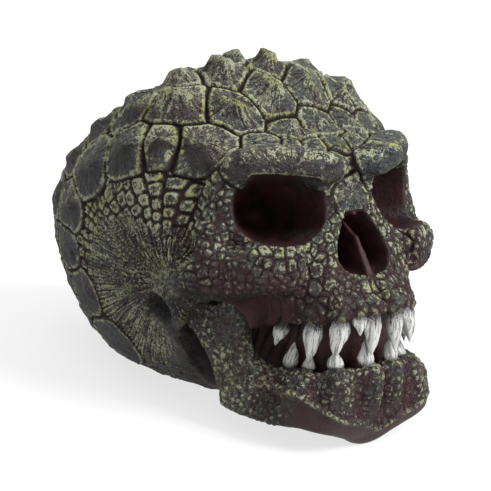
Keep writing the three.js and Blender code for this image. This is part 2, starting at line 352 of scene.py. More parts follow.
def nostril(side):
    """The cutter of one half of the nose, flat against the wall between the two."""

    def ring(k):
        back = mix(*NOSE_DEPTH, k)
        draw = mix(1, 0.7, k)
        y, z = NOSE_AT[0] + back * math.cos(NOSE_TILT), NOSE_AT[1] - back * math.sin(NOSE_TILT)
        up = np.array([0, math.sin(NOSE_TILT), math.cos(NOSE_TILT)]) * draw
        return np.array([0, y, z]), (side * draw, 0, 0), up, 1

    o = tube("nostril", ring, 12, 48)
    p = points(o)
    up, back = nose_flat(p)
    draw = nose_draw(back)
    turn = np.arctan2(p[:, 0] * side, up)
    pole = np.hypot(p[:, 0], up) < 1e-6
    high = mix(NOSE_HEIGHT[0], NOSE_HEIGHT[-1], (np.cos(turn) + 1) / 2)
    wide = np.interp(high, NOSE_HEIGHT, NOSE_HALF)
    wall = 1.1 + 1.0 * smooth(4, -14, high)
    outer = wall + np.maximum(wide - wall, 0.4 * np.sin(turn))
    x = np.where(pole, 6, np.where(np.sin(turn) > 0.02, outer, wall)) * draw * side
    h = np.where(pole, 0, high) * draw
    y = NOSE_AT[0] + back * math.cos(NOSE_TILT) + h * math.sin(NOSE_TILT)
    z = NOSE_AT[1] - back * math.sin(NOSE_TILT) + h * math.cos(NOSE_TILT)
    set_points(o, np.stack([x, y, z], 1))
    outward(o)
    return o


def gum_z(line, y):
    return line[1] + line[2] * (y - line[0])


# The jaw's upper and lower edges on one side, from its middle back.
GUM_LINE = [(0, -92, 38), (15, -90, 38), (26, -82, 35.5), (30, -67, 32), (33, -51, 31), (38, -40, 36)]
LOWER_BORDER = [(0, -85, -1), (15, -88, 4), (30, -88, 10), (37, -74, 10), (42, -58, 9), (46, -42, 10)]


def horseshoe(pts):
    return Path([(-x, y, z) for x, y, z in reversed(pts[1:])] + pts)


def jaw_body():
    gum, border = horseshoe(GUM_LINE), horseshoe(LOWER_BORDER)

    def ring(k):
        high, low, ahead = gum.at(k), border.at(k), border.ahead(k)
        out = np.array([ahead[1], -ahead[0], 0])
        out /= np.linalg.norm(out)
        return (high + low) / 2, out * 6.5, (high - low) / 2, 0.75

    return tube("jaw_body", ring, 70, 36)


# The outline of the jaw's upright branch from its lower front corner, as y and z.
BRANCH = [
    (-60, 11), (-54, 32), (-50, 35), (-47.6, 40), (-47, 46), (-46, 54), (-43.5, 58.5), (-40, 60), (-37, 56.5),
    (-33, 54), (-28, 55), (-23.5, 58.5), (-17, 58), (-18.5, 51), (-22, 45), (-27, 40), (-32, 33), (-36, 25),
    (-38, 18), (-43, 11.5),
]
BRANCH_THICK = 9.0


def branch(side):
    """The jaw's upright branch: a flat plate filled from its outline and given its thickness."""
    bpy.ops.object.select_all(action="DESELECT")
    bpy.ops.mesh.primitive_circle_add(vertices=len(BRANCH), radius=1, fill_type="NGON")
    o = bpy.context.object
    flat = np.array([(0, y, z) for y, z in BRANCH], float)
    set_points(o, flat)
    aside = dict(value=(BRANCH_THICK * MM, 0, 0))
    edit(o, (bpy.ops.mesh.extrude_region_move, dict(TRANSFORM_OT_translate=aside)))
    p = points(o)
    reach = np.where(p[:, 0] > BRANCH_THICK / 2, BRANCH_THICK, 0.0)
    p[:, 0] = side * (35.5 + (p[:, 1] + 46) * 0.55 + reach)
    set_points(o, p)
    outward(o)
    modify(o, "BEVEL", width=2.2 * MM, segments=3, limit_method="ANGLE")
    return o


# The masses become one skin: joined, cut, and remade with an even grain of small faces.
def cut_with(o, other, how="DIFFERENCE"):
    modify(o, "BOOLEAN", object=other, operation=how, solver="MANIFOLD")
    bpy.data.objects.remove(other, do_unlink=True)


def slab(low, high):
    """A plain block used as a cutter."""
    low, high = np.array(low, float), np.array(high, float)
    bpy.ops.object.select_all(action="DESELECT")
    bpy.ops.mesh.primitive_cube_add(size=1)
    o = bpy.context.object
    flat = np.empty(24)
    o.data.vertices.foreach_get("co", flat)
    set_points(o, (low + high) / 2 + flat.reshape(-1, 3) * (high - low))
    return o


def under_bite():
    """The cutter of everything below the bite, whose top slopes with it."""
    o = slab((-80, -160, -60), (80, -22, 0))
    p = points(o)
    top = p[:, 2] > -1
    p[top, 2] = gum_z(BITE, p[top, 1])
    set_points(o, p)
    return o


def under_floor():
    return slab((-200, -200, -80), (200, 200, 0.02))


def remade(o, grain, rounds):
    modify(o, "REMESH", mode="VOXEL", voxel_size=grain * MM, adaptivity=0)
    modify(o, "SMOOTH", factor=0.5, iterations=rounds)


def tongue_root():
    """The dark mass that fills the mouth behind the teeth and carries the jaw."""

    def ring(k):
        half = mix(25.5, 20, k)
        return (0, -50, mix(10, 75, k)), (half, 0, 0), (0, mix(-34, -32, k), 0), 0.7

    return tube("tongue_root", ring, 12, 48)


def septum_step(low, high, low_back, high_back):
    """Takes the front of the wall between the nostrils back from the rim of the nose."""
    o = slab((-2.3, -120, low), (2.3, -40, high))
    p = points(o)
    rear = p[:, 1] > -41
    p[rear, 1] = mix(low_back, high_back, (p[rear, 2] - low) / (high - low))
    set_points(o, p)
    return o


def skull_mass():
    case = ball("skull_skin", lambda unit: on_braincase(unit), 96, 64)
    for part in [tube("face", face_ring, 48, 64), cheek(-1), cheek(1), rim(-1), rim(1), brow(-1), brow(1)]:
        cut_with(case, part, "UNION")
    remade(case, 1.6, 14)
    for side in (-1, 1):
        cut_with(case, socket(side))
        cut_with(case, nostril(side))
        pit = ball("pit", lambda unit, side=side: unit * [15, 17, 16] + [50 * side, -38, 43], 40, 28)
        cut_with(case, pit)
    for side in (-1, 1):
        cut_with(case, brow(side), "UNION")
    cut_with(case, septum_step(64, 91, -89, -67))
    cut_with(case, septum_step(90, 98.5, -66, -50))
    cut_with(case, under_bite())
    cut_with(case, tongue_root(), "UNION")
    cut_with(case, under_floor())
    remade(case, GRAIN, 6)
    return case


def jaw_mass():
    jaw = jaw_body()
    for side in (-1, 1):
        cut_with(jaw, branch(side), "UNION")
    remade(jaw, 1.4, 8)
    cut_with(jaw, under_floor())
    jaw.name = "jaw_skin"
    remade(jaw, GRAIN * 0.75, 5)
    return jaw


# Noise and cells over points in space, for the relief and the paint.
def hashed(cells, seed):
    """Three numbers from -1 to 1 for each cell of a lattice."""
    n = cells @ np.array([127.1, 311.7, 74.7]) + seed * 17.3
    return np.stack([vary(n * k) for k in (0.131, 0.277, 0.419)], -1)


def lumps(p, size, seed):
    """Soft noise from -1 to 1 with lumps of about that size."""
    q = p / size
    base = np.floor(q)
    w = q - base
    w = w * w * (3 - 2 * w)
    total = 0
    for corner in np.ndindex(2, 2, 2):
        c = np.array(corner)
        share = np.prod(np.where(c == 1, w, 1 - w), 1)
        total = total + share * hashed(base + c, seed)[:, 0]
    return total


def pebbles(p, size, seed):
    """How far each point is from its pebble's edge, and the pebble's own number."""
    q = p / size
    base = np.floor(q)
    near = np.full(len(p), 9.0)
    second = np.full(len(p), 9.0)
    own = np.zeros(len(p))
    for step in np.ndindex(3, 3, 3):
        cell = base + np.array(step) - 1
        h = hashed(cell, seed)
        d = np.linalg.norm(cell + 0.5 + 0.42 * h - q, axis=1)
        closer = d < near
        second = np.where(closer, near, np.minimum(second, d))
        own = np.where(closer, h[:, 1], own)
        near = np.where(closer, d, near)
    return (second - near) * size / 2, own


# Scutes. Each is a crest between two points, grown until it meets its neighbours. Those of the crown are
# placed by side and back angles, and those of the forehead by x, y and z.
PHOTO_SCUTES = [
    (-14, -50, 12), (-41, -48, 11), (-46, -26, 12), (-20, -27, 12), (5, -27, 11), (16, -47, 11), (38, -44, 8),
    (-29, -7, 11), (-3, -6, 11), (-47, 3, 10), (-67, -46, 11), (-66, -25, 9.5), (-66, -3, 10.5),
    (-68, 15, 11), (-81, 27, 11), (-96, 34, 11), (-112, 32, 11), (-130, 27, 11), (63, -50, 5.5),
]
FOREHEAD_SCUTES = [
    (-10.3, -29, 127, 9), (9, -28, 129, 9.5), (29, -24, 128, 7), (-9.5, -46, 123, 5),
    (3.1, -46, 124, 5), (-2.5, -53, 118, 5.5), (-31.3, -33, 124, 7.5), (-20, -44, 125, 4.5),
    (15, -45, 125, 5), (24, -36, 126, 5.5),
]
BROW_SCUTE = ((14, -60, 119), (43, -41, 120.5))
NOSE_SCUTE = ((0, -60, 110), (0, -66, 103.5))
LARGE_SCUTE = 7.8


def crown(side, back):
    """The braincase's surface so many degrees to the side of its top and back from it."""
    s, b = np.radians(np.atleast_1d(side)), np.radians(np.atleast_1d(back))
    return on_braincase(np.stack([np.sin(s) * np.cos(b), np.sin(b), np.cos(s) * np.cos(b)], 1))


def scute_places():
    """The scutes of the photo, their like on the far side, then what fills the crown and back."""
    places = [(s, b, size, crown(s, b)[0]) for s, b, size in PHOTO_SCUTES]
    places += [(0, -60, size, np.array([x, y, z])) for x, y, z, size in FOREHEAD_SCUTES]

    def add(s, b, size, close, here=None):
        here = crown(s, b)[0] if here is None else here
        if all(np.linalg.norm(here - place) > close * (size + other) for _, _, other, place in places):
            places.append((s, b, size, here))

    for s, b, size in PHOTO_SCUTES:
        add(-s + 3 * vary(s), b, size, 0.86)
    for x, y, z, size in FOREHEAD_SCUTES:
        add(0, -60, size, 0.86, np.array([-x, y, z]))
    for b in range(-80, -40, 2):
        for s in range(0, 78, 4):
            for side in (-s, s):
                if crown(side, b)[0][2] > 122:
                    add(side, b, 6, 0.92)
    for b in range(-50, 86, 3):
        for s in range(0, 178, 5):
            for side in (-s, s):
                if b > (34 if s > 70 else -48):
                    add(side, b, 11, 0.97)
    return places


def crown_scute(i, s, b, size, here):
    """One scute's figures. The crown's have steep keels, and those down the sides are flatter and blunter."""
    ahead = crown(s, b + 2)[0] - crown(s, b - 2)[0] if s else np.array([0, 0.6, 0.8])
    ahead /= np.linalg.norm(ahead)
    mid = crown(s - 3 * np.sign(s), b)[0] - here if s else np.array([-np.sign(here[0]), 0, 0])
    mid = mid - ahead * (mid @ ahead)
    mid /= max(np.linalg.norm(mid), 1e-6)
    row = smooth(54, 60, abs(s))
    flatter = mix(1, 0.4, smooth(-22, 32, b)) * mix(1, 0.6, row) * mix(1, 0.6, smooth(78, 100, abs(s)))
    if here[0] > 0:
        flatter *= mix(1, 0.45, smooth(28, 40, abs(s)) * smooth(-48, -30, b))
    half = size * mix(0.36, 0.46, row)
    centre = here + mid * size * 0.16 + ahead * size * 0.12 * vary(i + 3)
    keel = size * (0.53 if size > LARGE_SCUTE else 0.42) * flatter * (1 + 0.18 * vary(i + 7))
    lift = (2.0 if size > LARGE_SCUTE else 1.5) - 0.8 * smooth(74, 95, abs(s))
    reach = size * (1 + 0.05 * vary(i + 21))
    return centre - ahead * half, centre + ahead * half, reach, keel, lift, mix(2.1, 1.35, row), ahead, mid


def scute_list():
    """Of every scute: crest ends, reach, keel, lift, keel's sharpness, and the ways along and across it."""
    out = [crown_scute(i, *place) for i, place in enumerate(scute_places())]
    for side in (-1, 1):
        a, b = (np.array(v) * [side, 1, 1] for v in BROW_SCUTE)
        ahead = (b - a) / np.linalg.norm(b - a)
        out.append((a, b, 8.6, 1.5, 1.0, 1.2, ahead, np.array([0.0, 0, 1])))
    a, b = (np.array(v, float) for v in NOSE_SCUTE)
    out.append((a, b, 6.5, 1.0, 1.0, 1.5, np.array([0, 0, 1.0]), np.array([1.0, 0, 0])))
    return out


def off_line(p, a, b):
    """Distance from the line between two points."""
    line = b - a
    t = np.clip(((p - a) @ line) / (line @ line), 0, 1)
    return np.linalg.norm(p - a - t[:, None] * line, axis=1)


class Scutes:
    """For every point: how far it is inside its scute's edge and from its crest, and the scute's figures."""

    def __init__(self, p):
        plates = scute_list()
        best = np.full(len(p), 1e9)
        second = np.full(len(p), 1e9)
        own = np.zeros(len(p), int)
        for i, (a, b, size, *_) in enumerate(plates):
            d = off_line(p, a, b) - size
            closer = d < best
            second = np.where(closer, best, np.minimum(second, d))
            own = np.where(closer, i, own)
            best = np.where(closer, d, best)
        figures = [np.array(column)[own] for column in zip(*plates)]
        a, b, size, self.keel, self.lift, self.sharp, ahead, mid = figures
        rel = p - (a + b) / 2
        self.along, self.across = (rel * ahead).sum(1), (rel * mid).sum(1)
        self.edge = np.minimum((second - best) / 2, 4.0 - best)
        self.to_crest = best + size
        self.own = own


def near_line(p, a, b):
    """Distance from the line between two points, on both sides of the head alike."""
    return off_line(np.stack([np.abs(p[:, 0]), p[:, 1], p[:, 2]], 1), np.array(a, float), np.array(b, float))


def smoothed(values, edges, rounds):
    """Averages values over each point's neighbours, some times over."""
    n = len(values)
    count = np.bincount(edges.ravel(), minlength=n)[:, None] + 1.0
    v = values.reshape(n, -1)
    for _ in range(rounds):
        total = v.copy()
        for k in range(v.shape[1]):
            ahead = np.bincount(edges[:, 0], v[edges[:, 1], k], n)
            total[:, k] += ahead + np.bincount(edges[:, 1], v[edges[:, 0], k], n)
        v = total / count
    return v.reshape(values.shape)


def edges_of(o):
    flat = np.empty(len(o.data.edges) * 2, int)
    o.data.edges.foreach_get("vertices", flat)
    return flat.reshape(-1, 2)


def normals_of(o):
    flat = np.empty(len(o.data.vertices) * 3)
    o.data.vertices.foreach_get("normal", flat)
    return flat.reshape(-1, 3)


def keep(o, name, values):
    kind = "FLOAT" if values.ndim == 1 else "FLOAT_VECTOR"
    layer = o.data.attributes.new(name, kind, "POINT")
    layer.data.foreach_set("value" if kind == "FLOAT" else "vector", values.astype(np.float32).ravel())


def mouth_inside(p):
    """Above 0 inside the curve of the teeth, in the mouth."""
    half, front, root = LOWER_ARCH
    x = np.abs(p[:, 0]) / (half - 2)
    y = np.maximum(root - p[:, 1], 0) / (root - front - 3)
    return 1 - (x**2.4 + y**2.4) ** (1 / 2.4)


def fan(turn, reach, warp, pitches, longer, seed):
    """Scales in columns round the ear: how large, how far inside a scale's edge, and its number."""
    spread = np.linspace(-math.pi, math.pi, 361)
    pitch = mix(pitches[0], pitches[1], smooth(0.75, 0.25, spread) * smooth(-3.0, -2.4, spread))
    count = np.concatenate([[0], np.cumsum(np.diff(spread) / ((pitch[1:] + pitch[:-1]) / 2))])
    column = np.interp(turn, spread, count) + warp * 0.35
    which = np.floor(column)
    step = np.interp(np.interp(which + 0.5, count, spread), spread, pitch)
    level = np.log(reach / 10) / (step * longer) + 0.5 * (which % 2) + 0.35 * vary(which + seed)
    share = column - which
    high = level - np.floor(level)
    side_gap = np.minimum(share, 1 - share) * step * reach
    end_gap = np.minimum(high, 1 - high) * step * reach * longer
    soft = 0.6
    edge = -soft * np.log(np.exp(-side_gap / soft) + np.exp(-end_gap / soft)) + 0.1
    size = np.clip(step * reach / 5, 0.3, 1)
    edge = np.minimum(side_gap, end_gap) * (1 - size) + edge * size
    return size, edge / size, vary(which * 3.7 + np.floor(level) * 9.1 + seed)


def gum_collars(p, arch, gum, sizes, point):
    """Height of the gum round each tooth's root, with its scalloped edge."""
    half, front, root_y = arch
    h = np.zeros(len(p))
    for turn, _, width in sizes:
        for side in (-1, 1):
            a = math.radians(turn)
            y = root_y + (front - root_y) * math.cos(a) ** ARCH_POWER
            root = np.array([side * half * squared(math.sin(a), ARCH_POWER), y, gum_z(gum, y)])
            across = (p[:, 0] - root[0]) * math.cos(a) + (p[:, 1] - root[1]) * math.sin(a) * side
            off = (p[:, 0] - root[0]) * math.sin(a) * side - (p[:, 1] - root[1]) * math.cos(a)
            up = (root[2] - p[:, 2]) * point
            swell = np.exp(-((across / (width * 0.62)) ** 2)) * smooth(-9, -2, off) * smooth(7, 2, off)
            h = np.maximum(h, swell * (2.6 * smooth(-1.5, 1.0, up) * smooth(11, 3, up)))
    return h


# Relief. Every point of a skin is raised along its normal, and gets the shares that guide its paint.
class Skin:
    """The points of one skin, with the shares of its parts added to it as they are worked out."""

    def __init__(self, o):
        self.o = o
        self.p, self.n, self.edges = points(o), normals_of(o), edges_of(o)
        self.x, self.y, self.z = np.abs(self.p[:, 0]), self.p[:, 1], self.p[:, 2]

    def raised(self, h):
        """Moves the skin out along its normals, all but its flat foot. Returns the new points."""
        foot = smooth(0.6, 0.05, self.z)
        q = self.p + self.n * (h * (1 - foot))[:, None]
        q[:, 2] = np.maximum(q[:, 2], 0.0)
        set_points(self.o, q)
        return q

    def rise(self, q, rounds):
        """How far the raised skin stands over its own smoothed surface."""
        return ((q - smoothed(q, self.edges, rounds)) * normals_of(self.o)).sum(1)

    def facing_up(self):
        return smoothed(self.n, self.edges, 12)[:, 2]

    def guide(self, **guides):
        """Keeps the paint's guides. Those not given are 0."""
        for name in PAINT_GUIDES:
            keep(self.o, name, guides.get(name, np.zeros(len(self.p))))


def dark_insides(s):
    """The smooth dark insides of the sockets, nose and mouth, and of them the walls behind the teeth, which
    are painted dark under the cheek as painted shade.
    """
    eye = np.minimum(in_socket(s.p, -1), in_socket(s.p, 1))
    slab_gap = np.minimum.reduce([near_line(s.p, a, b) for a, b in zip(BROW, BROW[1:])])
    under_slab = smooth(-0.55, -0.8, s.n[:, 2])
    eyes = smooth(1.08, 1.03, eye) * np.maximum(smooth(9.5, 11, slab_gap), under_slab)
    up, back = nose_flat(s.p)
    draw = nose_draw(back)
    half = np.interp(up / draw, NOSE_HEIGHT, NOSE_HALF) * draw
    nose = smooth(1.0, 0.4, np.maximum(s.x - half, back - 2)) * (np.abs(up / draw + 1.6) < 16.6)
    under_gum = smooth(3, -1, s.z - gum_z(BITE, s.y))
    mouth = smooth(-0.03, 0.05, mouth_inside(s.p)) * under_gum * (s.y < -20)
    palate = smooth(0.9, 0.97, -s.n[:, 2]) * (s.y < -24) * (s.z < 66) * (s.x < 34)
    walls = smooth(-67, -61, s.y) * smooth(65, 60, s.z) * smooth(-16, -22, s.y) * smooth(50, 44, s.x)
    return np.clip(np.maximum.reduce([eyes, nose, mouth, palate, walls]), 0, 1), walls


def skull_parts(s, t):
    """Which parts of the skull each point belongs to, as shares from 0 to 1."""
    s.inside, s.walls = dark_insides(s)
    s.plate = smooth(-0.3, 0.2, t.edge) * ((braincase_depth(s.p) > 0.9) | (s.z > 84))
    s.temple = smooth(44, 54, s.x) * smooth(-38, -30, s.y)
    s.side = smooth(44, 60, s.x)
    s.rear = smooth(-10, 15, s.y)
    # The bare band that runs down from the ear behind the jaw, and the hollow that it borders.
    s.band = np.exp(-((near_line(s.p, *BARE_BAND) / 3.6) ** 2))
    s.hollow = smooth(-6, -16, s.y + 3 * lumps(s.p, 9, 21)) * smooth(52, 46, s.z) * smooth(-36, -30, s.y)
    s.bare = 1 - np.maximum(s.band, s.hollow) * (1 - s.plate)
    s.pit = np.hypot(s.y - EAR_PIT[0], s.z - EAR_PIT[1]) + np.maximum(60 - s.x, 0)
    s.fold = np.abs(np.sin(s.y * 0.5 + 0.12 * s.z + 1.6 * lumps(s.p, 9, 53)))


def scute_height(s, t):
    """A step up at the edge, a raised rim, and a folded keel that climbs to the crest."""
    e = np.maximum(t.edge, 0)
    peak = np.minimum(e / (e + t.to_crest * 0.9 + 1e-6) * 1.12, 1)
    facing = np.arctan2(t.across, t.along * 0.6)
    round_crest = np.stack([np.cos(facing) * 3.2, np.sin(facing) * 3.2, t.own * 7.1], 1)
    slope = smooth(0.05, 0.4, peak) * smooth(1, 0.7, peak)
    folds = np.abs(lumps(round_crest, 1, 41)) * 0.15 * t.keel * slope
    rough = lumps(s.p, 5, 3) * 0.5 + lumps(s.p, 2.2, 4) * 0.35
    rim_bead = 0.45 * np.exp(-(((t.edge - 1.4) / 0.6) ** 2))
    h = t.lift * smooth(0.0, 1.1, t.edge) + rim_bead + t.keel * peak**t.sharp
    return h + (rough - folds) * smooth(0.4, 1.6, t.edge)


def ring_scales(s):
    """Height and edges of the scales that fan out from the ear, in streaks near it and behind it."""
    dy, dz = s.y - EAR[0], s.z - EAR[1]
    s.reach = np.hypot(dy, dz) + 1e-6
    s.turn = np.arctan2(dz, dy)
    bend = lumps(s.p, 22, 11) + 0.5 * lumps(s.p, 8, 13)
    wavy_turn = s.turn + 0.02 * lumps(s.p, 7, 16)
    wavy_reach = s.reach * (1 + 0.03 * lumps(s.p, 8, 18))
    ring_size, ring_edge, ring_own = fan(wavy_turn, wavy_reach, bend, (0.165, 0.085), 1.0, 0)
    size, edge, own = fan(s.turn, s.reach, lumps(s.p, 15, 17), (0.085, 0.065), 4.0, 5)
    start = np.interp(s.turn, RINGS_START["turn"], RINGS_START["reach"])
    far = smooth(0, 1.5, s.reach - start + 3 * lumps(s.p, 12, 19))
    edge = mix(edge, ring_edge - 0.25, far)
    dish = smooth(0.15, 0.95, edge) - 0.65 * smooth(1.1, 2.4, edge) + 0.2 * mix(own, ring_own, far)
    h = dish * 1.2 * mix(size, ring_size, far) ** 0.4 * smooth(4, 10, s.reach)
    creases = np.sin(s.turn * 52 + 5 * lumps(s.p, 8, 5))
    h += 0.2 * creases * smooth(3, 9, s.reach) * smooth(30, 18, s.reach)
    return h * (1 - 0.8 * np.maximum(s.band, s.hollow)), mix(1.6, edge, smooth(7, 15, s.reach))


def dished_pebbles(s):
    """Height and edges of the pebbles over the rest of the hide, in patches of large and small."""
    large_edge, large_own = pebbles(s.p, 5.0, 8)
    small_edge, small_own = pebbles(s.p, 3.5, 9)
    coarse = smooth(-0.2, 0.3, lumps(s.p, 14, 12))
    edge = mix(small_edge, large_edge, coarse)
    dish = 0.9 * smooth(0.75, 1.5, edge) * smooth(-0.7, 0.1, large_own)
    h = mix(0.6, 1.0, coarse) * smooth(0.05, 0.7, edge) - dish
    return h + 0.2 * mix(small_own, large_own, coarse) + lumps(s.p, 7, 14) * 0.5, edge


def brush_ways(s, t):
    """Where the paint's streaks are looked up: out from each crest, out from the ear, or in plain space."""
    out = np.hypot(t.across, t.along * 0.6) + 1e-6
    on_plate = np.stack([t.across / out * 5, t.along * 0.6 / out * 5, t.own * 3.7 + out * 0.12], 1)
    on_fan = np.stack([s.turn * 16, s.reach * 0.07, s.x * 0.02], 1)
    place = mix(s.p * 0.4, on_fan, (s.temple > 0.5)[:, None])
    return mix(place, on_plate, (s.plate > 0.5)[:, None])


def worn_spots(s):
    """Where the yellow-green is rubbed on thick: at the ear, low behind it, and over the fan."""
    ear = np.hypot(s.y + 19, s.z - 66) + np.maximum(62 - s.x, 0)
    low = np.hypot((s.y + 5) / 0.8, s.z - 33) + np.maximum(40 - s.x, 0)
    over_fan = 0.55 * s.temple * smooth(20, 32, s.reach) * smooth(-30, 0, s.y) * (1 - s.plate)
    return np.maximum.reduce([smooth(13, 2, ear), 0.9 * smooth(20, 8, low), over_fan])


def skull_relief(o):
    s = Skin(o)
    t = Scutes(s.p)
    skull_parts(s, t)
    outside, off_plate = 1 - s.inside, 1 - s.plate
    h_ring, ring_edge = ring_scales(s)
    h_pebble, pebble_edge = dished_pebbles(s)
    h = mix(mix(h_pebble, h_ring, s.temple), scute_height(s, t), s.plate)
    h = h + 2.6 * s.band * off_plate + gum_collars(s.p, UPPER_ARCH, BITE, UPPER_TEETH, -1) * outside
    h = mix(h, lumps(s.p, 9, 15) * 0.25 + 1.1 * s.walls * s.fold, s.inside)
    q = s.raised(h - 4 * smooth(9, 2, s.pit))

    edge = mix(pebble_edge, ring_edge, s.temple)
    joint = mix(smooth(0.5, 0.0, edge), smooth(0.75, 0.15, t.edge), s.plate)
    plate_rim = np.exp(-(((t.edge - mix(1.35, 1.7, s.side)) / mix(0.5, 1.1, s.side)) ** 2))
    rim = mix(np.exp(-(((edge - 0.95) / 0.4) ** 2)), plate_rim * mix(1, 1.5, s.side), s.plate)
    # The lower facets of the side scutes get painted shadow, as do the hollow, what lies under the cheek, and
    # the wall behind the jaw.
    below_crest = smooth(1.5, -2, t.across + 2.5 * lumps(s.p, 3, 51))
    low_facet = s.plate * smooth(54, 60, s.x + 0.6 * (132 - s.z)) * below_crest * (s.x > 26)
    off_rim = smooth(2.0, mix(3.6, 5.4, s.rear), t.edge + 1.2 * lumps(s.p, 2.5, 52))
    in_hollow = s.hollow * smooth(-12, -22, s.y) * smooth(8, 16, s.z)
    overhang = smooth(-0.35, -0.75, s.n[:, 2]) * (s.x > 30)
    under_cheek = overhang * smooth(48, 54, s.z) * smooth(-70, -60, s.y) * (s.z < 76) * (1 - s.walls)
    behind_jaw = s.walls * smooth(-40, -32, s.y)
    facet_shadow = 0.64 * low_facet * outside * off_rim
    lips = smooth(92, 74, s.z) * smooth(-30, -50, s.y) * 0.9 + 0.2 * s.temple * smooth(60, 30, s.reach)
    # Painted light: what faces up and stands higher is painted lighter, the lower facets of the side scutes
    # less so.
    lit = smooth(-0.35, 0.85, s.facing_up()) * smooth(10, 90, s.z) ** 0.5
    lit = lit * (1 - mix(0.65, 0.4, s.rear) * low_facet)
    s.guide(
        fine_rise=s.rise(q, 5) * mix(0.72, 1, np.maximum(s.plate, s.temple)),
        broad_rise=s.rise(q, 26),
        joint=joint * outside * s.bare,
        rim=rim * outside * s.bare,
        reddened=np.maximum(lips, 0.9 * s.hollow * smooth(19, 10, s.z)),
        brushed=lit + 0.16 * s.side * s.plate * s.rear + 0.3 * s.temple * off_plate,
        inside=s.inside,
        plum=0.2 * s.plate * outside,
        pit=smooth(12, 5, s.pit),
        shadow=np.maximum.reduce([0.85 * in_hollow, under_cheek, facet_shadow, behind_jaw]),
        # Painted light and shade on the wall behind the teeth: lighter on its fold tops and higher up, darker
        # low down and between folds.
        cheek_wall=s.walls * (0.05 + 0.65 * s.fold) * smooth(36, 60, s.z),
        worn=worn_spots(s),
        brush_way=brush_ways(s, t),
    )


def jaw_relief(o):
    s = Skin(o)
    inside = smooth(-0.02, 0.06, mouth_inside(s.p)) * smooth(-46, -50, s.y)
    ridge_z = np.interp(s.x, CHIN_RIDGE["x"], CHIN_RIDGE["z"])
    # The chin's bare underside below the ridge is its own satin maroon, painted darker still as painted shade
    # where it faces down.
    below = smooth(1.0, -1.0, s.z - ridge_z) * smooth(-70, -84, s.y)
    rear = smooth(-68, -56, s.y)
    edge, own = pebbles(s.p, 2.8, 31)
    h_pebble = 0.6 * smooth(0.1, 0.7, edge) - 0.3 * smooth(0.7, 1.2, edge)
    h_pebble = h_pebble + 0.15 * own + 0.4 * lumps(s.p, 7, 32)
    # Root ridges down the front of the jaw, one under each tooth.
    half, front, root = LOWER_ARCH
    turn = np.degrees(np.arctan2(s.x / half, np.maximum(root - s.y, 0.1) / (root - front)))
    roots = np.cos((turn - 10) / 26 * 2 * math.pi)
    under_teeth = smooth(-50, -58, s.y) * smooth(10, 18, s.z) * (1 - inside)
    h_root = roots * 2.0 * smooth(14, 26, s.z) * smooth(-2, 4, gum_z(LOWER_GUM, s.y) - s.z)
    lip = 1.5 * np.exp(-(((s.z - ridge_z - 0.8) / 1.7) ** 2)) * smooth(-50, -64, s.y)
    plain = np.clip(inside + below, 0, 1)
    h_plain = 0.3 * lumps(s.p, 10, 33) - 0.9 * below * smooth(1, 5, s.z)
    h = mix(h_pebble * mix(1, 0.4, rear) + h_root * under_teeth, h_plain, plain) + lip * (1 - inside)
    h += 0.8 * gum_collars(s.p, LOWER_ARCH, LOWER_GUM, LOWER_TEETH, 1) * (1 - inside)
    q = s.raised(h)
    between_roots = under_teeth * smooth(0.2, -0.6, roots) + 0.3 * smooth(-50, -60, s.y)
    branch_worn = 0.5 * smooth(-72, -60, s.y) * smooth(48, 34, s.z + 4 * lumps(s.p, 12, 35))
    s.guide(
        fine_rise=s.rise(q, 6) * mix(1, 0.5, rear),
        broad_rise=s.rise(q, 30),
        joint=0.6 * smooth(0.45, 0.0, edge) * (1 - plain),
        rim=0.7 * np.exp(-(((edge - 0.85) / 0.35) ** 2)) * (1 - plain),
        reddened=np.clip(between_roots, 0, 1) * (1 - plain),
        # Partly painted light: the jaw is painted lighter where it faces up.
        brushed=smooth(-0.5, 0.9, s.facing_up()) * 0.6 + 0.12 + 0.3 * rear * (1 - inside),
        inside=np.clip(inside, 0, 1),
        plum=-0.35 * rear,
        chin=below * (1 - inside),
        worn=np.maximum(0.6 * lip, branch_worn) * (1 - inside),
        brush_way=s.p * 0.4,
    )


# Teeth: fluted leaves of bone-white paint, one piece for each jaw, on the same roots as the solids.
# Each tooth on one side: degrees round the arch from its middle, length and width.
UPPER_TEETH = [(8, 17.5, 8.4), (21, 8.5, 6.6), (35, 17.5, 8.8), (56, 17, 8.4), (80, 10, 7.2)]
LOWER_TEETH = [(10, 13, 7.8), (37, 8.5, 7.4), (59, 6.5, 6), (73, 13, 7)]


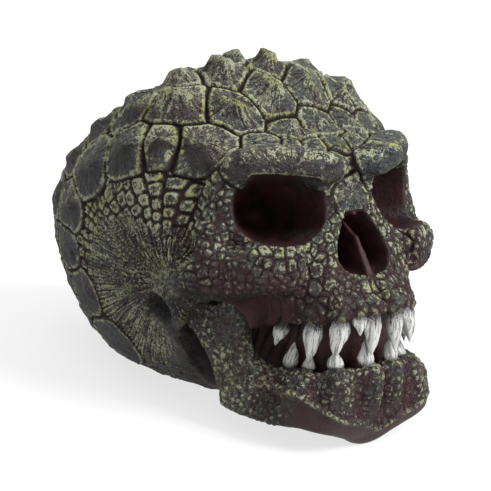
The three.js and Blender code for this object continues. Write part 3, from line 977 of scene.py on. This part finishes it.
def tooth(name, arch, gum, turn, length, width, point, draw):
    half, front, root_y = arch
    a = math.radians(turn)
    y = root_y + (front - root_y) * math.cos(a) ** ARCH_POWER
    root = np.array([half * squared(math.sin(a), ARCH_POWER), y, gum_z(gum, y)])
    out = np.array([math.sin(a), -math.cos(a), 0])
    side = np.array([math.cos(a), math.sin(a), 0])
    long = length * (1 + 0.1 * vary(draw))
    lean = 0.12 * vary(draw + 1)

    def middle(k):
        along = mix(-4, long + 0.3, k)
        splay = 4.5 * k - 2.8 if point < 0 else -2.5 * k
        return root + np.array([0, 0, point * along]) + out * splay + side * lean * along

    def ring(k):
        if k < 0.45:
            swell = mix(0.55, 1.04, (k / 0.45) ** 0.8)
        else:
            swell = mix(1.04, 0.05, ((k - 0.45) / 0.55) ** 1.45)
        return middle(k), side * width / 2 * swell, out * width / 2 * 0.72 * swell, 1

    o = tube(name, ring, 26, 28)
    p = points(o)
    n = normals_of(o)
    height = (p[:, 2] - root[2]) * point
    share = np.clip(height / long, 0, 1)
    centre = np.array([middle((h * long + 4) / (long + 4.3)) for h in share])
    rel = p - centre
    across = (rel @ side) / (width / 2)
    facing = rel @ out
    flute = np.cos(across * 2.6 * math.pi + draw) * 0.24 * smooth(0.0, 0.3, share) * smooth(1.0, 0.7, share)
    spine = 0.5 * np.exp(-((across / 0.28) ** 2)) * smooth(1, 0.6, share) * (facing > 0)
    chips = 0.16 * lumps(p, 1.5, 50 + draw % 7)
    set_points(o, p + n * (flute + spine + chips)[:, None])
    keep(o, "to_tip", share)
    keep(o, "streak", np.stack([across * 2.6 + draw, share * 0.8, np.sign(facing) * 2], 1))
    return o


def teeth(name, arch, gum, sizes, point, start):
    made = []
    for i, (turn, length, width) in enumerate(sizes):
        for side in (-1, 1):
            made.append(tooth(name, arch, gum, turn * side, length, width, point, start + i * 4 + side))
    return joined(name, made)


# Materials.
class Val:
    """A socket that takes part in arithmetic."""

    tree = None

    def __init__(self, socket):
        self.socket = socket

    def __add__(self, other):
        return sum_of("ADD", self, other)

    def __radd__(self, other):
        return sum_of("ADD", other, self)

    def __sub__(self, other):
        return sum_of("SUBTRACT", self, other)

    def __rsub__(self, other):
        return sum_of("SUBTRACT", other, self)

    def __mul__(self, other):
        return sum_of("MULTIPLY", self, other)

    def __rmul__(self, other):
        return sum_of("MULTIPLY", other, self)


def node(kind, settings=None, out=0, **inputs):
    """A new node with its settings, then its sockets' values or links. Returns one output."""
    made = Val.tree.nodes.new(kind)
    for name, value in (settings or {}).items():
        setattr(made, name, value)
    for name, value in inputs.items():
        numbered = name[0] == "i" and name[1:].isdigit()
        socket = made.inputs[int(name[1:]) if numbered else name]
        if isinstance(value, Val):
            Val.tree.links.new(value.socket, socket)
        else:
            socket.default_value = value
    return Val(made.outputs[out])


def sum_of(how, a, b):
    return node("ShaderNodeMath", dict(operation=how), i0=a, i1=b)


def ramp(v, low, high):
    """0 below low and 1 above high, eased between them."""
    eased = dict(interpolation_type="SMOOTHSTEP")
    return node("ShaderNodeMapRange", eased, i0=v, i1=low, i2=high, i3=0.0, i4=1.0)


def tint(share, a, b):
    a, b = (v if isinstance(v, Val) else (*v, 1.0) for v in (a, b))
    return node("ShaderNodeMix", dict(data_type="RGBA"), 2, i0=share, i6=a, i7=b)


def value_of(name):
    return node("ShaderNodeAttribute", dict(attribute_name=name), 2)


def vector_of(name):
    return node("ShaderNodeAttribute", dict(attribute_name=name), 1)


def spot(scale, detail=4.0, rough=0.6, where=None):
    where = where or node("ShaderNodeTexCoord", {}, 3)
    return node("ShaderNodeTexNoise", {}, 0, Vector=where, Scale=scale, Detail=detail, Roughness=rough)


def speck(scale, detail, where=None):
    """Noise about 0, mostly from -0.6 to 0.6."""
    return (spot(scale, detail, 0.7, where) - 0.5) * 5


def clear(v):
    return node("ShaderNodeClamp", {}, i0=v)


def paint(name):
    """A material with its output node, ready for a surface. Returns it and its Principled node."""
    m = bpy.data.materials.new(name)
    m.use_nodes = True
    Val.tree = m.node_tree
    return m, next(n for n in m.node_tree.nodes if n.type == "BSDF_PRINCIPLED")


def feed(shader, name, value):
    if isinstance(value, Val):
        Val.tree.links.new(value.socket, shader.inputs[name])
    else:
        shader.inputs[name].default_value = value


def srgb(r, g, b):
    return tuple((v / 255 / 12.92 if v <= 10 else ((v / 255 + 0.055) / 1.055) ** 2.4) for v in (r, g, b))


OXBLOOD = srgb(54, 25, 28)
OXBLOOD_LIGHT = srgb(72, 42, 46)
DEEP_OXBLOOD = srgb(25, 11, 13)
SLATE = srgb(88, 92, 89)
BLUE_SLATE = srgb(74, 80, 87)
PLUM = srgb(86, 71, 74)
MOSS = srgb(100, 103, 84)
STRAW = srgb(172, 177, 106)
LICHEN = srgb(180, 184, 154)
# Dark maroon of the chin's underside, partly its own satin paint and partly painted shade.
CHIN = srgb(50, 27, 30)
# Near black for painted shadow.
SHADOW_BLACK = srgb(17, 8, 9)
# Near black, for random dark flecks, the ear pit, and painted shade on what faces down.
BLACK_TONE_AND_SHADE = srgb(20, 18, 19)
BONE = srgb(186, 186, 185)
BONE_SHADE = srgb(70, 68, 72)
ROOT_SHADE = srgb(36, 24, 26)


class Look:
    """The skin's guides, and the specks that each coat of its paint is mixed from."""

    def __init__(self):
        for name in PAINT_GUIDES[:-1]:
            setattr(self, name, value_of(name))
        self.grit, self.fuzz = speck(1500, 2), speck(620, 3)
        self.patch, self.cloud = speck(75, 4), speck(30, 3)
        self.hair = speck(1.0, 5, vector_of("brush_way"))
        self.mottle = self.grit * 0.36 + self.fuzz * 0.46 + self.hair * 0.52


def undercoat(g):
    """Slate clouded with plum and flecked with black, with painted shade on what faces down and stands low,
    and oxblood in the joints and hollows.
    """
    coat = tint(ramp(g.patch + g.mottle * 0.4, -0.3, 0.5), SLATE, BLUE_SLATE)
    coat = tint(ramp(g.cloud + g.mottle * 0.4 + g.plum, 0.0, 0.6) * 0.8, coat, PLUM)
    coat = tint(ramp(g.mottle, 0.05, -0.5) * 0.95, coat, BLACK_TONE_AND_SHADE)
    # Painted shade: the coat goes towards black on what faces down and stands low.
    coat = tint(0.58 - g.brushed * 0.58, coat, BLACK_TONE_AND_SHADE)
    coat = tint(clear(g.reddened * (1.0 + g.mottle) * (0.6 + g.patch)), coat, OXBLOOD_LIGHT)
    sunk = ramp(g.fine_rise + g.broad_rise * 0.25 + g.mottle * 0.08, -0.06, -0.34)
    coat = tint(clear(sunk * 0.9 + g.joint), coat, OXBLOOD)
    return tint(clear(g.joint * ramp(g.fine_rise + g.mottle * 0.05, 0.02, -0.2)), coat, DEEP_OXBLOOD)


def rubbed_on(g):
    """How much yellow-green is dragged on: over rims and ridges, as a thin veil, and thick in worn spots,
    with more of it on what faces up, partly as painted light.
    """
    high = g.fine_rise * 1.25 + g.rim * (0.22 + g.hair * 0.3) + g.mottle * 0.32 + g.patch * 0.1
    high = high + g.broad_rise * 0.06 + (g.brushed - 0.7) * 0.2 - g.reddened * 0.08
    ridges = ramp(high, 0.1, 0.6) * clear(0.8 + g.mottle * 0.9 + g.patch * 0.3)
    veil = ramp(g.mottle * 0.8 + g.patch * 0.4 + g.brushed * 0.4, 0.2, 0.85) * 0.65
    thick = g.worn * (0.5 + g.mottle * 0.9)
    return clear(ridges + veil + thick) * (1 - 0.85 * g.joint) * (1 - g.inside)


def hide_paint(name):
    """Oxblood in the recesses, slate green over the scales, yellow-green dragged over what stands up, and
    painted shadow near black where the hide lies in shade.
    """
    m, shader = paint(name)
    g = Look()
    green = rubbed_on(g)
    light = tint(ramp(g.patch * 0.9 + g.grit * 0.4, -0.35, 0.3), STRAW, LICHEN)
    shade = tint(ramp(green + g.mottle * 0.4 + g.cloud * 0.2, 0.35, 1.0), MOSS, light)
    skin = tint(green * (0.58 + 0.34 * g.brushed - 0.16 * g.reddened), undercoat(g), shade)
    # The chin's underside: its own dark satin maroon, partly painted shade.
    skin = tint(g.chin * (0.9 + g.mottle * 0.3), skin, CHIN)
    skin = tint(g.pit * 0.9, skin, BLACK_TONE_AND_SHADE)
    # Painted shadow: near black in the hollow, under the cheek, on the lower facets of the side scutes and
    # behind the jaw.
    skin = tint(g.shadow * (0.85 + g.mottle * 0.3), skin, SHADOW_BLACK)
    hollow = tint(ramp(spot(120, 4), 0.32, 0.6), DEEP_OXBLOOD, OXBLOOD)
    # The wall behind the teeth is lifted towards oxblood on its fold tops and higher up, as painted light.
    hollow = tint(g.cheek_wall * (0.6 + g.mottle * 0.5), hollow, OXBLOOD)
    hollow = tint(g.shadow * 0.85, hollow, SHADOW_BLACK)
    feed(shader, "Base Color", tint(g.inside, skin, hollow))
    rough = 0.64 + g.mottle * 0.1 - g.inside * 0.1 - g.pit * 0.36 - g.chin * 0.14 + g.cheek_wall * 0.2
    feed(shader, "Roughness", rough)
    feed(shader, "IOR", 1.45)
    feed(shader, "Specular IOR Level", 0.32)
    bump = (g.mottle + 1.2 * spot(260, 3, 0.6)) * (1 - 0.85 * g.inside) * (1 - 0.85 * g.chin)
    feed(shader, "Normal", node("ShaderNodeBump", {}, 0, Strength=1.0, Distance=0.0008, Height=bump))
    return m


def tooth_paint():
    """Bone white dragged down each tooth over grey, dark at the root."""
    m, shader = paint("tooth_paint")
    line = spot(2.4, 4, 0.65, vector_of("streak"))
    fuzz = spot(1100, 4, 0.7)
    colour = tint(ramp(line + (fuzz - 0.5) * 0.25, 0.51, 0.6) * 0.75, BONE, BONE_SHADE)
    near_root = ramp(value_of("to_tip") + (fuzz - 0.5) * 0.6 + (line - 0.5) * 0.8, 0.32, 0.06)
    feed(shader, "Base Color", tint(near_root, colour, ROOT_SHADE))
    feed(shader, "Roughness", 0.42 + (fuzz - 0.5) * 0.2)
    bump = line + fuzz * 0.4
    feed(shader, "Normal", node("ShaderNodeBump", {}, 0, Strength=0.5, Distance=0.0004, Height=bump))
    return m


def dress(o, material, slot, *nodes):
    o.data.materials.clear()
    o.data.materials.append(material)
    only(o)
    bpy.ops.object.shade_smooth()
    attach(o, "root")
    if nodes:
        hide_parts(*nodes)


def thinned(o, most):
    faces = len(o.data.polygons) * 2
    if faces > most:
        modify(o, "DECIMATE", ratio=most / faces)


skull = skull_mass()
skull_relief(skull)
thinned(skull, MOST_FACES["skull"])
jaw = jaw_mass()
jaw_relief(jaw)
thinned(jaw, MOST_FACES["jaw"])
upper = teeth("upper_teeth", UPPER_ARCH, BITE, UPPER_TEETH, -1, 500)
lower = teeth("lower_teeth", LOWER_ARCH, LOWER_GUM, LOWER_TEETH, 1, 600)

hide = hide_paint("hide_paint")
dress(skull, hide, "painted_hide", "braincase", "face", "mouth_core")
dress(jaw, hide, "painted_hide", "lower_jaw")
ivory = tooth_paint()
dress(upper, ivory, "tooth_paint")
dress(lower, ivory, "tooth_paint")


# Floor, light and camera. A lamp has its turn in degrees, how wide its light spreads, and its strength.
LAMPS = dict(soft_key=((40, 32, 0), 30, 4.0), soft_top=((0, 0, 0), 70, 1.1))
ROOM_LIGHT = 0.52
FLOOR_SIZE = 12
FLOOR_GLOW = 0.72


def studio():
    bpy.ops.object.select_all(action="DESELECT")
    bpy.ops.mesh.primitive_plane_add(size=FLOOR_SIZE)
    floor = bpy.context.object
    floor.name = "floor"
    m, shader = paint("floor_white")
    feed(shader, "Base Color", (0.25, 0.25, 0.25, 1))
    feed(shader, "Roughness", 0.9)
    feed(shader, "Emission Color", (1, 1, 1, 1))
    feed(shader, "Emission Strength", FLOOR_GLOW)
    floor.data.materials.append(m)
    scene = bpy.context.scene
    world = bpy.data.worlds.new("studio")
    world.use_nodes = True
    back = world.node_tree.nodes["Background"]
    back.inputs["Color"].default_value = (1, 1, 1, 1)
    back.inputs["Strength"].default_value = ROOM_LIGHT
    scene.world = world
    scene.view_settings.view_transform = "Standard"
    for name, (turn, spread, strength) in LAMPS.items():
        data = bpy.data.lights.new(name, "SUN")
        data.angle = math.radians(spread)
        data.energy = strength
        lamp = bpy.data.objects.new(name, data)
        lamp.location = (0, 0, 1)
        lamp.rotation_euler = Euler([math.radians(v) for v in turn])
        scene.collection.objects.link(lamp)


def camera():
    az, el, roll = (math.radians(v) for v in (VIEW_AROUND, VIEW_UP, VIEW_ROLL))
    right = Vector((math.cos(az), math.sin(az), 0))
    back = Vector((math.sin(az) * math.cos(el), -math.cos(az) * math.cos(el), math.sin(el)))
    up = back.cross(right)
    rolled_right = right * math.cos(roll) + up * math.sin(roll)
    rolled_up = up * math.cos(roll) - right * math.sin(roll)
    turn = Matrix([rolled_right, rolled_up, back]).transposed().to_4x4()
    at = (Vector(VIEW_AIM) + Vector(SHIFT)) * MM + back * (VIEW_DISTANCE * MM)
    data = bpy.data.cameras.new("camera")
    data.angle = 2 * math.atan(HALF_PICTURE_PIXELS / FOCAL_PIXELS)
    data.clip_end = 20
    o = bpy.data.objects.new("camera", data)
    o.matrix_world = Matrix.Translation(at) @ turn
    bpy.context.scene.collection.objects.link(o)
    bpy.context.scene.camera = o


studio()
camera()
